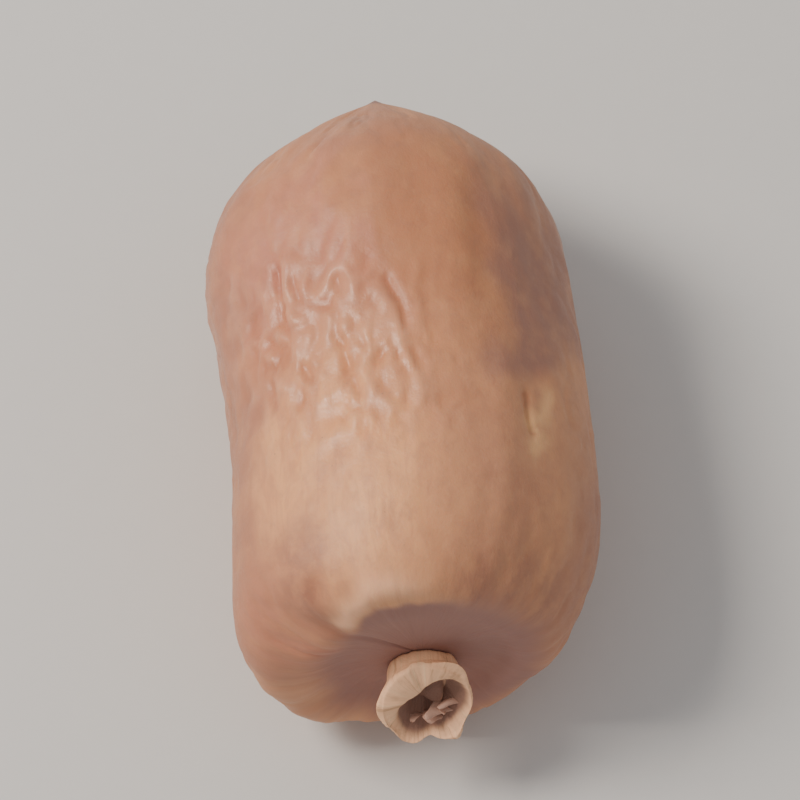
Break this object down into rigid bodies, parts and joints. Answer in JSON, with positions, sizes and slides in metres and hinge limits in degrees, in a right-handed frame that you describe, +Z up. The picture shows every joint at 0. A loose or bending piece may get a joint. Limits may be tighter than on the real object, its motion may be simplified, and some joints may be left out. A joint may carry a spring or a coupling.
{
  "type": "zahedi date",
  "caption": "Barrel-shaped dried date lying on its side, with soft wrinkles toward its small pointed tip and a dry cup-shaped calyx on its dished stem end.",
  "frame": {"origin": "middle of the footprint, on the surface that the date lies on", "axes": "+Y along the date toward its tip, with the stem end at -Y; +Z up"},
  "size_m": [0.0216, 0.0388, 0.0195],
  "materials": {
    "date_skin": "semi-gloss thin fruit skin, tan at the stem end and reddish amber toward the tip",
    "dry_calyx": "matt dry fibrous husk, cream with a darker hollow"
  },
  "bodies": {
    "root": {"fruit": "date_skin", "calyx": "dry_calyx"}
  },
  "joints": []
}
